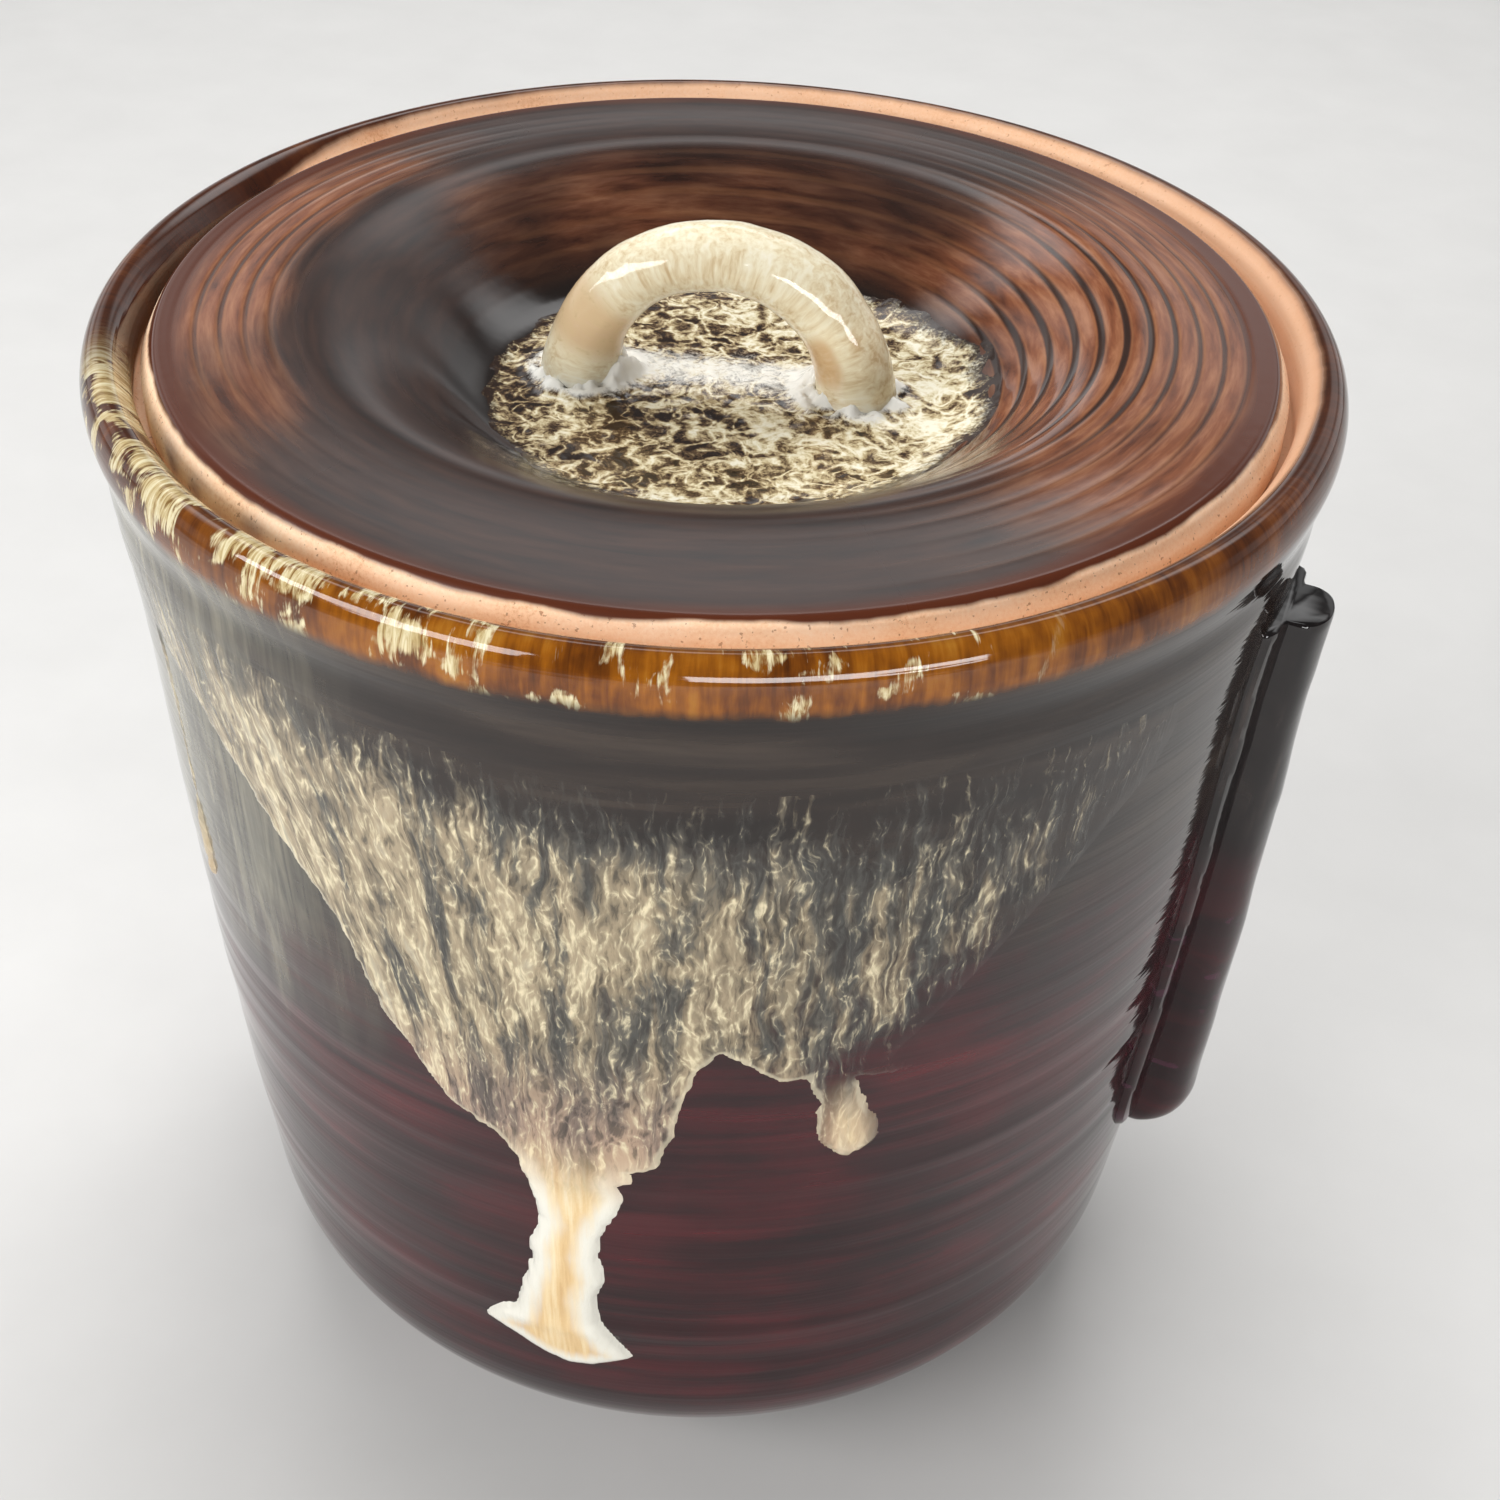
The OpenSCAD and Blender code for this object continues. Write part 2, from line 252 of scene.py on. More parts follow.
# from the middle of the foot up the outside, over the lip and down the inside; corners are eased one by one
jarProfile = [(0.0, jar["footRecess"]), (20, jar["footRecess"]), (jar["footInner"] - 2.5, jar["footRecess"])]
jarProfile += [(jar["footInner"] - 0.8, 0.6), (jar["footInner"], 0.0)]
jarProfile += arcPoints(baseCentreR, jar["baseRound"], jar["baseRound"], -90, -jar["waistLean"], 34)
jarProfile += [(float(wallRadius(z)), z) for z in np.linspace(waistZ, lipLowZ, 132)[1:-1]]
jarProfile += lipArc
jarProfile += [(jar["seatRadius"] + 0.5, bevelLowZ + 0.5), (jar["seatRadius"], bevelLowZ - 0.4),
               (jar["seatRadius"], jar["seatHeight"] + 0.5), (jar["seatRadius"] - 0.5, jar["seatHeight"]),
               (jar["ledgeRadius"] + 0.6, jar["seatHeight"]), (jar["ledgeRadius"], jar["seatHeight"] - 0.6)]
jarProfile += [(float(wallRadius(z)) - jar["wall"], z) for z in np.linspace(insideHighZ, insideLowZ, 24)]
jarProfile += arcPoints(insideLowR - jar["insideRound"], insideLowZ, jar["insideRound"], 0, -90, 12)[1:]
jarProfile += [(20, jar["floorHeight"]), (0, jar["floorHeight"])]
jarProfile = [(float(r), float(z)) for r, z in jarProfile]

profilePoints = np.array(jarProfile)
profileSteps = np.hypot(*np.diff(profilePoints, axis=0).T)
profileRun = np.concatenate([[0], np.cumsum(profileSteps)])
unrollRadius = 80.0  # every band of the jar is rolled out at this radius
chunk = 4000  # points looked up at a time


def runAt(r, z):
    # distance along the profile, from the middle of the foot, of the nearest profile point
    out = np.empty(len(r))
    for i in range(0, len(r), chunk):
        far = np.hypot(r[i:i + chunk, None] - profilePoints[None, :, 0],
                       z[i:i + chunk, None] - profilePoints[None, :, 1])
        out[i:i + chunk] = profileRun[far.argmin(1)]
    return out


def runOf(r, z):
    return float(runAt(np.array([r]), np.array([z]))[0])


def onWall(angle, r, z):
    # the point at a bearing in radians, a radius and a height, in metres
    return np.stack([r * np.sin(angle), -r * np.cos(angle), z], 1) * mm


def unrolled(points):
    # a place on the jar as if its skin were a plain cylinder, so that streaks can follow the profile
    flat = points / mm
    along = runAt(np.hypot(flat[:, 0], flat[:, 1]), flat[:, 2])
    return onWall(np.radians(bearing(flat)), unrollRadius, along)


runLip = runOf(*lipArc[0])
runBevel = runOf(*bevelStart)
runCrest = float(profileRun[profilePoints[:, 1].argmax()])
runLedge = runOf(jar["ledgeRadius"], jar["seatHeight"] - 0.6)
runFoot = runOf(baseCentreR, 0.0)

thrown = dict(first=9, last=150, step=4.2, roughUpTo=70, smoothOver=60, lipFrom=150, lipOver=12, footOver=8)

# finger lines left by throwing: height, swell, width, rise round the jar, where round it, how far
fingerLines = np.random.default_rng(11)
fingers = [dict(z=z + fingerLines.uniform(-1.5, 1.5), swell=fingerLines.uniform(-0.2, 0.2),
                width=fingerLines.uniform(1.0, 2.6), rise=fingerLines.uniform(-2.5, 2.5),
                middle=fingerLines.uniform(0, 360), spread=fingerLines.uniform(60, 160))
           for z in np.arange(thrown["first"], thrown["last"], thrown["step"])]


def throwing(angle, z):
    # swell of the wall by the potter's fingers, in mm; the lower half was left rougher
    swell = np.zeros(len(z))
    for f in fingers:
        off = np.abs((angle - f["middle"] + 180) % 360 - 180)
        height = f["z"] + f["rise"] * np.radians(off)
        swell += f["swell"] * hump(z, height, f["width"]) * hump(off, 0, f["spread"])
    swell = swell * (1.25 - 0.85 * ease((z - thrown["roughUpTo"]) / thrown["smoothOver"]))
    return swell * ease(z / thrown["footOver"]) * fadeOut(z, thrown["lipFrom"], thrown["lipOver"])


body = spinProfile("jarBody", jarProfile, jar["steps"])
points = getPoints(body)
storeField(body, "unrolled", unrolled(points))
radius = np.hypot(points[:, 0], points[:, 1]) / mm
height = points[:, 2] / mm
outside = (np.abs(radius - wallRadius(height)) < 0.3) & (height < lipLowZ + 0.2)
swell = np.where(outside, throwing(bearing(points), height), 0)
points[:, :2] *= (1 + swell / np.maximum(radius, 1))[:, None]
setPoints(body, points)
print("jar thrown", len(jarProfile), "profile points")


# the poured straw-ash glaze: a coat that thins out at the top and hangs in two runs and a drip
# each run: its bearing, its spread, the height up to which it is thick, and how far it then thins out

coat = dict(left=-47.0, right=74.0, low=27.0, high=158.0, across=380, up=250, back=0.9, film=0.05,
            thin=0.25, dip=0.11, bead=1.4, shortBead=1.0, dripBead=0.6, edge=1.2, longEdge=1.4,
            shortEdge=1.0, under=0.45, deepest=-0.6, sunk=-0.45, shortFrom=70, longRun=(10.5, 11, 40, 48),
            shortRun=(38.5, 5, 86, 20), leftDrip=(-36.2, 2, 100, 22), smoothDrop=(38.7, 3.0, 90, 12),
            topFade=(-15, 25), neckFade=(151, 6), wispFade=16, dropAt=38.5, dropWide=2.6, dropTop=104,
            dropFade=8)

# degrees round the jar against the height where the coat fades out above, below, and how much stays
coverTop = [(-47, -20, 0, 15, 30, 50, 74), (155, 152, 149, 147, 147, 149, 151)]
coverLow = [(36, 42, 52, 62, 74), (92, 100, 116, 130, 142)]
coverSide = [(-47, -43, -32, -24, -16, -6, 20, 30, 42, 54, 66, 72),
             (0, 0.45, 0.5, 0.7, 0.9, 1.05, 1, 0.78, 0.66, 0.45, 0.2, 0)]

# its lower edge, left to right: degrees round the jar and height
coatEdge = [(-62, 152), (-46, 150), (-37.2, 147), (-36.8, 114), (-37.3, 104), (-36.4, 98), (-35.4, 104),
            (-36, 114), (-35.8, 144), (-28, 138), (-24.5, 133.6), (-21, 130.2), (-17.6, 124.2),
            (-13.2, 118.2), (-10.8, 113), (-9.1, 106.6), (-7.3, 101.8), (-4.8, 96.7), (-2.1, 90),
            (0.9, 86.4), (4.3, 84.2), (6.3, 79.3), (7.4, 74), (8.2, 67.2), (6.9, 61.2), (7.0, 57),
            (5.4, 49.1), (4.4, 43), (2.6, 41.9), (0, 37.3), (3.7, 34.9), (7, 32.4), (10.4, 31),
            (13.2, 31.5), (17.5, 34.4), (15.7, 38.6), (13.9, 43.6), (13.6, 49), (14.6, 54.1),
            (14.1, 59.7), (14.4, 64.3), (15.2, 67.6), (17, 74.3), (16.3, 77.5), (17.8, 78.6),
            (17.4, 80.6), (20.2, 82.2), (21.6, 89.2), (22.8, 97.2), (24.8, 104.8), (26.1, 106.8),
            (27.7, 105.4), (29.9, 102.3), (32.5, 100.9), (34.2, 101), (35.6, 95.5), (35.7, 89),
            (36.6, 85.8), (38.5, 83.5), (40.4, 84.3), (42.1, 86.5), (41.6, 90.9), (39.6, 96.1),
            (38.9, 100), (42, 100), (50, 99), (60, 104), (80, 110)]
edgeRadius = 81.0  # wall radius where the edge is measured out in mm


def insideCoat(angle, z):
    # signed distance in mm to the coat's lower edge, above zero inside the coat
    u = np.radians(angle) * edgeRadius
    line = np.array([(math.radians(a) * edgeRadius, h) for a, h in coatEdge])
    shape = np.vstack([line, [(line[-1][0] + 60, 260), (line[0][0] - 60, 260)]])
    best = np.full(len(u), 1e9)
    crossings = np.zeros(len(u), int)
    for k, ((x0, y0), (x1, y1)) in enumerate(zip(shape, np.roll(shape, -1, 0))):
        dx, dy = x1 - x0, y1 - y0
        t = np.clip(((u - x0) * dx + (z - y0) * dy) / (dx * dx + dy * dy), 0, 1)
        if k < len(line) - 1:
            best = np.minimum(best, np.hypot(u - x0 - t * dx, z - y0 - t * dy))
        hit = (y0 > z) != (y1 > z)
        crossings += hit & (u < x0 + dx * (z - y0) / (dy if dy else 1e-9))
    return np.where(crossings % 2 == 1, best, -best)


def roughness(points, across, along, depth=3):
    # soft random field from -1 to 1, drawn out along the profile
    scaled = points / mm / np.array([across, across, along])
    return np.array([noise.fractal(Vector(p), 1.0, 2.0, depth) for p in scaled])


def runShare(angle, z, middle, spread, low, over):
    return hump(angle, middle, spread) * fadeOut(z, low, over)


def coatCover(angle, z):
    # how much of the ash glaze stayed: it thins towards the neck and breaks up into wisps on the right
    top = fadeOut(z - np.interp(angle, *coverTop), *coat["topFade"]) * fadeOut(z, *coat["neckFade"])
    wisps = ease((z - np.interp(angle, *coverLow)) / coat["wispFade"])
    low = np.where(angle > coverLow[0][0], wisps, 1)
    side = np.interp(angle, *coverSide)
    drop = hump(angle, coat["dropAt"], coat["dropWide"]) * ease((coat["dropTop"] - z) / coat["dropFade"])
    return np.maximum(top * low * side, drop)


def coatThickness(angle, z, inside, stayed):
    # thin in the curtain, thick in the runs, sunk under the wall where nothing stayed
    longRun = runShare(angle, z, *coat["longRun"])
    shortRun = runShare(angle, z, *coat["shortRun"]) * (z > coat["shortFrom"])
    leftDrip = runShare(angle, z, *coat["leftDrip"])
    bead = coat["thin"] * stayed + coat["film"] - coat["dip"] * fadeOut(stayed, 0, 0.12)
    bead += coat["bead"] * longRun + coat["shortBead"] * shortRun + coat["dripBead"] * leftDrip
    width = coat["edge"] + coat["longEdge"] * longRun + coat["shortEdge"] * shortRun
    rim = np.clip(inside / width, 0, 1)
    below = np.maximum(inside * coat["under"], coat["deepest"])
    return np.where(inside > 0, bead * np.sqrt(rim * (2 - rim)), below)


clearSelection()
bpy.ops.mesh.primitive_grid_add(x_subdivisions=coat["across"], y_subdivisions=coat["up"], size=1)
curtain = bpy.context.object
curtain.name = curtain.data.name = "ashGlazeCoat"
points = getPoints(curtain)
angle = coat["left"] + (points[:, 0] + 0.5) * (coat["right"] - coat["left"])
height = coat["low"] + (points[:, 1] + 0.5) * (coat["high"] - coat["low"])
flow = np.stack([np.radians(angle) * edgeRadius, np.zeros(len(angle)), height], 1) * mm

# the edge is ragged above the long run and only a little on it
ragged = 0.12 + 0.88 * ease((height - 72) / 14)
inside = insideCoat(angle, height)
inside += ragged * (0.6 * roughness(flow, 2.2, 2.6) + 0.5 * roughness(flow + 3, 5, 9))
inside += 0.45 * roughness(flow + 7, 1.3, 5.0) * ease((height - 44) / 6) * ease((80 - height) / 8)
stayed = coatCover(angle, height)
thick = coatThickness(angle, height, inside, stayed)
thick += 0.09 * roughness(flow + 1, 2.0, 7.0) * (inside > 0.5) * np.clip(thick / 0.3, 0, 1)

turned = np.radians(angle)
setPoints(curtain, onWall(turned, wallRadius(height) + throwing(angle, height) + thick, height))
storeField(curtain, "unrolled", unrolled(onWall(turned, wallRadius(height), height)))
storeField(curtain, "inside", inside)
storeField(curtain, "cover", stayed)
shortDrop = 0.5 * runShare(angle, height, *coat["smoothDrop"])
leftDrop = 0.5 * fadeOut(height, 104, 12) * (angle < -30)
storeField(curtain, "smooth", np.maximum(np.maximum(fadeOut(height, 70, 18), shortDrop), leftDrop))

# the ash glaze flowed down and in towards the long run, so its fur follows that
gather = 1 + 0.55 * ease((152 - height) / 76) * ease((20 - angle) / 24)
gathered = np.radians(angle - 11) * edgeRadius * gather
storeField(curtain, "flow", np.stack([gathered, 0 * height, height], 1) * mm)

# what lies deep under the wall's skin goes
pickPoints(curtain, thick < coat["sunk"])
bpy.ops.mesh.delete(type="VERT")
bpy.ops.mesh.select_all(action="SELECT")
bpy.ops.mesh.delete_loose()
closePiece()
giveBack(curtain, coat["back"])
print("glaze coat poured")


# the ears: a strip pressed onto the wall and drawn up into a ridge

ear = dict(top=149.0, tip=46.0, flange=10.0, flangeThick=1.6, ridge=5.2, topReach=6.8, tipReach=9.2,
           tipRound=9.0, levels=90, tipLevels=16, ridgeSteps=20, ridgeSquare=0.62, sunk=1.2,
           trims=(0.15, 0.6), wobble=0.22, smoothUpTo=38)


def earSection(z):
    # one outline across the ear: sideways along the wall and outwards from it, in mm
    t = (z - ear["tip"]) / (ear["top"] - ear["tip"])
    low = min(1.0, (z - ear["tip"]) / ear["tipRound"])
    full = math.sqrt(max(0.0, 1 - (1 - low) ** 2))
    reach = (ear["tipReach"] + (ear["topReach"] - ear["tipReach"]) * t) * (0.12 + 0.88 * full)
    half = ear["flange"] * (0.25 + 0.75 * full)
    ridge = min(ear["ridge"], half) * (0.5 + 0.5 * full)
    flange = ear["flangeThick"] * (0.3 + 0.7 * full)
    left = [(-half, -ear["sunk"]), (-half, 0.2), (-half + 0.5, flange * 0.7), (-half + 1.6, flange)]
    left += [(-ridge - 1.2, flange * 1.02), (-ridge - 0.4, flange * 1.15)]
    over = []
    for a in np.linspace(180, 0, ear["ridgeSteps"]):
        c, s = math.cos(math.radians(a)), math.sin(math.radians(a))
        over.append((ridge * c, flange * 1.3 + (reach - flange * 1.3) * max(s, 0) ** ear["ridgeSquare"]))
    return left + over + [(-x, y) for x, y in reversed(left)]


def makeEar(name, facing):
    # the section is drawn as a ring of vertices at the tip, then extruded up the wall level by level
    rounding = np.linspace(0, math.pi / 2, ear["tipLevels"])
    heights = list(ear["tip"] + ear["tipRound"] * (1 - np.cos(rounding)))
    heights += list(np.linspace(ear["tip"] + ear["tipRound"], ear["top"] - 0.8, ear["levels"])[1:])
    heights += [ear["top"] - 0.25, ear["top"]]
    trims = [0] * (len(heights) - 2) + list(ear["trims"])  # the cut top is eased
    count = len(earSection(ear["top"]))
    clearSelection()
    bpy.ops.mesh.primitive_circle_add(vertices=count, radius=ear["ridge"] * mm,
                                      location=(0, 0, ear["tip"] * mm))
    piece = bpy.context.object
    piece.name = piece.data.name = name
    bpy.ops.object.transform_apply(location=True)
    bpy.ops.object.mode_set(mode="EDIT")
    bpy.ops.mesh.select_all(action="SELECT")
    for low, high in zip(heights, heights[1:]):
        bpy.ops.mesh.extrude_region_move(TRANSFORM_OT_translate={"value": (0, 0, (high - low) * mm)})
    bpy.ops.mesh.edge_face_add()
    bpy.ops.object.mode_set(mode="OBJECT")
    points = getPoints(piece).reshape(len(heights), count, 3)
    for level, (z, trim) in enumerate(zip(heights, trims)):
        section = np.array(earSection(z))
        section[:, 0] *= 1 - trim / ear["flange"] * 0.5
        section[:, 1] = np.where(section[:, 1] > 0, np.maximum(section[:, 1] - trim, 0), section[:, 1])
        wall = float(wallRadius(z))
        around = np.radians(facing) + section[:, 0] / wall
        points[level] = onWall(around, wall + section[:, 1], np.full(count, z))
    flat = points.reshape(-1, 3)
    away = np.array([math.sin(math.radians(facing)), -math.cos(math.radians(facing)), 0])
    flat += away[None] * (roughness(flat, 7.0, 16.0) * ear["wobble"] * mm)[:, None]
    setPoints(piece, flat)
    pickPoints(piece, np.arange(len(flat)) < count)
    bpy.ops.mesh.edge_face_add()
    closePiece()
    bpy.ops.object.shade_smooth_by_angle(angle=math.radians(ear["smoothUpTo"]))
    storeField(piece, "unrolled", unrolled(getPoints(piece)))
    return piece


rightEar = makeEar("rightEar", 90)
leftEar = makeEar("leftEar", -90)
print("ears pressed on")


# the lid

lid = dict(radius=81.0, seat=164.5, edge=5.3, slopeW=2.5, slopeH=3.1, crown=60.0, crownH=1.2, well=31.0,
           depth=14.0, thick=7.0, bulge=58.0, bulgeIn=27.8, chamfer=1.4, eased=0.25, ringDepth=0.17,
           ringWidth=0.17, firstRing=75.6, lastRing=33, ringStep=3.42, steps=256)
lidTopR = lid["radius"] - lid["slopeW"]
lidEdgeZ = lid["seat"] + lid["edge"]
lidTopZ = lidEdgeZ + lid["slopeH"]
wellZ = lidTopZ + lid["crownH"] - lid["depth"]


def lidTop(r):
    r = np.asarray(r, float)
    outer = lidTopZ + lid["crownH"] * ease((lidTopR - r) / (lidTopR - lid["crown"]))
    inner = lidTopZ + lid["crownH"] - lid["depth"] * ease((lid["crown"] - r) / (lid["crown"] - lid["well"]))
    return np.where(r > lid["crown"], outer, inner)


# from the middle of the underside out to the rim and back over the top
lidProfile = [(0.0, wellZ - lid["thick"])]
lidProfile += [(lid["bulgeIn"] + (lid["bulge"] - lid["bulgeIn"]) * t,
                wellZ - lid["thick"] + (lid["seat"] - wellZ + lid["thick"]) * float(ease(t)))
               for t in np.linspace(0, 1, 18)]
lidProfile += [(lid["radius"] - lid["chamfer"], lid["seat"]), (lid["radius"] - 0.3, lid["seat"] + 0.5),
               (lid["radius"], lid["seat"] + lid["chamfer"]), (lid["radius"], lidEdgeZ - 0.5),
               (lid["radius"] - lid["eased"], lidEdgeZ)]
lidProfile += [(lid["radius"] - lid["eased"] - (lid["slopeW"] - lid["eased"]) * t,
                lidEdgeZ + lid["slopeH"] * math.sin(t * math.pi / 2))
               for t in np.linspace(0.2, 0.9, 5)]
topRadii = np.concatenate([np.linspace(lidTopR, 34, 118), np.linspace(33.5, 2, 22), [0.0]])
lidProfile += [(float(r), float(lidTop(r))) for r in topRadii]

lidPiece = spinProfile("jarLid", lidProfile, lid["steps"])
points = getPoints(lidPiece)
around = bearing(points)
radius = np.hypot(points[:, 0], points[:, 1]) / mm
onTop = points[:, 2] / mm > lidTop(radius) - 0.05
ringPhase = (lid["firstRing"] - radius) / lid["ringStep"] + around / 360  # one long spiral
groove = hump(ringPhase % 1, 0.5, lid["ringWidth"])
within = ease((lid["firstRing"] + 1.5 - radius) / 1.5) * ease((radius - lid["lastRing"]) / 4)

# the glaze filled the grooves at the front and thinned over them at the sides
fromView = (around - viewAzimuth + 180) % 360 - 180
bareRight = hump(fromView, 85, 50)
bareLeft = 0.95 * hump(fromView, -98, 40) * ease((radius - 56) / 12)
bareBack = 0.35 * hump(180 - np.abs(fromView), 0, 60) * fadeOut(radius, 50, 14)
bare = np.maximum(np.maximum(bareRight, bareLeft), bareBack)
within *= bare * (1 - 0.3 * ease((radius - 57) / 12))
points[:, 2] -= np.where(onTop & (radius < lidTopR - 0.5), groove * within * lid["ringDepth"] * mm, 0)
setPoints(lidPiece, points)
storeField(lidPiece, "groove", np.where(onTop, groove * within, 0))
storeField(lidPiece, "bare", bare)
print("lid thrown")


# the glaze pool in the lid's well and the lumps where it crawled at the handle's feet

pool = dict(reach=45.0, edge=36.5, leansTo=98, lean=3, steps=220, rings=96, thick=0.35, back=0.8,
            lumpRing=5.6, lumpSpread=2.6, between=0.7)
handle = dict(loop=20.2, rod=5.1, turned=17.0, steps=64, sides=40, foot=0.4)
footAngle = math.radians(handle["turned"])
cosT, sinT = math.cos(footAngle), math.sin(footAngle)
feet = [np.array([cosT, sinT]) * handle["loop"] * side for side in (1, -1)]

poolProfile = [(float(r), float(lidTop(r))) for r in np.linspace(pool["reach"], 0, pool["rings"])]
glazePool = spinProfile("lidGlazePool", poolProfile, pool["steps"])
points = getPoints(glazePool)
around = np.radians(bearing(points) - pool["leansTo"])
ahead = np.radians(bearing(points) - viewAzimuth)
flat = points / mm
radius = np.hypot(flat[:, 0], flat[:, 1])
edge = pool["edge"] + pool["lean"] * np.cos(around) + np.cos(ahead)
edge += 1.6 * roughness(points, 9.0, 9.0) + 0.9 * roughness(points + 1, 3.0, 3.0)
depth = edge - radius
lift = pool["thick"] * (1 - np.exp(-np.maximum(depth, 0) / 4.0)) + np.where(depth < 0, depth * 0.12, 0)
lift += 0.10 * roughness(points + 2, 2.4, 2.4) * ease(depth / 2)
lumps = 0.9 + 1.5 * roughness(points + 5, 3.0, 3.0)
for foot in feet:
    off = np.hypot(flat[:, 0] - foot[0], flat[:, 1] - foot[1])
    inward = (np.abs(flat[:, 0] - 0.5 * foot[0]) + np.abs(flat[:, 1] - 0.5 * foot[1])) / 12
    lift += (0.8 + 2.1 * np.exp(-inward ** 2)) * lumps * hump(off, pool["lumpRing"], pool["lumpSpread"])
between = np.exp(-((flat[:, 0] * sinT - flat[:, 1] * cosT + 3) / 6) ** 2)
lift += pool["between"] * between * ease((30 - radius) / 12)
points[:, 2] += np.maximum(lift, -0.6) * mm
setPoints(glazePool, points)
storeField(glazePool, "depth", depth)
storeField(glazePool, "lump", lift)
openPiece(glazePool)
closePiece()
giveBack(glazePool, pool["back"])
print("lid glaze pooled")


# the loop handle, a rolled rod bent over and pressed into the well

clearSelection()
bpy.ops.mesh.primitive_circle_add(vertices=handle["sides"], radius=handle["rod"] * mm,
                                  location=(handle["loop"] * mm, 0, 0))
loop = bpy.context.object
loop.name = loop.data.name = "lidHandle"
bpy.ops.object.transform_apply(location=True)
bpy.ops.object.mode_set(mode="EDIT")
bpy.ops.mesh.select_all(action="SELECT")
bpy.ops.mesh.extrude_region_move(TRANSFORM_OT_translate={"value": (0, 0, handle["foot"] * mm)})
bpy.ops.mesh.spin(steps=handle["steps"], angle=math.pi, center=(0, 0, handle["foot"] * mm), axis=(0, 1, 0))
bpy.ops.mesh.extrude_region_move(TRANSFORM_OT_translate={"value": (0, 0, -handle["foot"] * mm)})
bpy.ops.mesh.select_all(action="SELECT")
bpy.ops.mesh.remove_doubles(threshold=0.01 * mm)
closePiece()

points = getPoints(loop)
flat = points / mm
loopTurn = np.degrees(np.arctan2(flat[:, 2], flat[:, 0]))
loopAngle = np.radians(loopTurn)
storeField(loop, "foot", hump(np.maximum(flat[:, 2], 0), 0, 3.0))
rolled = [loopAngle * handle["loop"], flat[:, 1], np.hypot(flat[:, 0], flat[:, 2]) - handle["loop"]]
storeField(loop, "rolled", np.stack(rolled, 1) * mm)
centre = np.stack([handle["loop"] * np.cos(loopAngle), np.zeros(len(flat)),
                   handle["loop"] * np.sin(loopAngle)], 1)

# the rod is a little uneven and spreads at its feet
foot = hump(np.maximum(flat[:, 2], 0), 0, 5.0)
spread = 1 + 0.05 * np.sin(np.radians(loopTurn * 2 + 40)) + 0.14 * foot
spread += 0.05 * roughness(points, 8.0, 8.0)
flat = centre + (flat - centre) * spread[:, None]
flat[:, 2] = np.maximum(flat[:, 2], 0)
flat = np.stack([flat[:, 0] * cosT - flat[:, 1] * sinT, flat[:, 0] * sinT + flat[:, 1] * cosT,
                 flat[:, 2] + wellZ], 1)
setPoints(loop, flat * mm)
openPiece(loop)
bpy.ops.mesh.select_all(action="DESELECT")
bpy.ops.mesh.select_mode(type="EDGE")
bpy.ops.mesh.select_non_manifold(extend=False)
bpy.ops.mesh.edge_face_add()
closePiece()
bpy.ops.object.shade_smooth()
print("handle bent")


# materials: a stoneware glaze is glass, index about 1.5 and fire-polished, and bare clay is matt

glassIndex = 1.5
glassRough = 0.05
clayRough = 0.85
glazeRelief = 0.25  # mm, how far fired glaze rises and falls


def newGlaze(name):
    material = bpy.data.materials.new(name)
    material.use_nodes = True
    tree = material.node_tree
    return material, tree, tree.nodes["Principled BSDF"]


def fire(shader, colour, rough, relief):
    # what the kiln leaves: a colour, a gloss and an uneven skin
    shader.inputs["IOR"].default_value = glassIndex
    for socket, value in (("Base Color", colour), ("Roughness", rough), ("Normal", relief)):
        if isinstance(value, float):
            shader.inputs[socket].default_value = value
        else:
            tree.links.new(value, shader.inputs[socket])


def onProfile():
    # the place on the rolled-out skin, and how far along the profile that is
    place = add("Attribute", attribute_name="unrolled", give="Vector")
    return place, add("SeparateXYZ", {0: place}, give=2)


def mottling(place, across, along, seed=0.0, detail=4.0, rough=0.55, twist=0.0, ridged=False, give=0):
    # uneven patches or streaks of a real size in mm, across and along the piece
    sizes = (1 / across / mm, 1 / across / mm, 1 / along / mm)
    spot = add("shift", place, sizes, (seed,) * 3)
    inputs = {"Vector": spot, "Scale": 1.0, "Detail": detail, "Roughness": rough, "Distortion": twist}
    if ridged:
        inputs["Offset"] = 1.0
    return add("TexNoise", inputs, give=give, noise_type="RIDGED_MULTIFRACTAL" if ridged else "FBM")


def weigh(*shares):
    # several patterns laid over each other, each with its weight
    total = None
    for pattern, weight in shares:
        part = pattern if weight == 1 else add("times", pattern, weight)
        total = part if total is None else add("plus", total, part)
    return total


def wander(pattern, reach, middle=0.5):
    # a pattern as a shift to either side of nothing
    return add("times", add("minus", pattern, middle), reach)


def azimuthWave(place, middle, spread):
    # 1 at one bearing round the jar, falling to 0 with distance from it
    part = add("SeparateXYZ", {0: place}).node
    angle = math.radians(middle)
    along = weigh((part.outputs[0], math.sin(angle) / (unrollRadius * mm)),
                  (part.outputs[1], -math.cos(angle) / (unrollRadius * mm)))
    return add("fade", along, math.cos(math.radians(spread)), 1.0)


def ironGlaze(place):
    # iron-saturated glaze: black where it lies thick, maroon where it thins over the finger lines
    bands = mottling(place, 60, 3.2, 3.1, 4, 0.6, 0.4)
    clouds = mottling(place, 26, 18, 7.7, 3)
    return add("ramp", weigh((bands, 0.6), (clouds, 0.5)),
               stops=[(0.36, "#14060a"), (0.52, "#2a0b10"), (0.66, "#430f16"), (0.8, "#5a161c")])


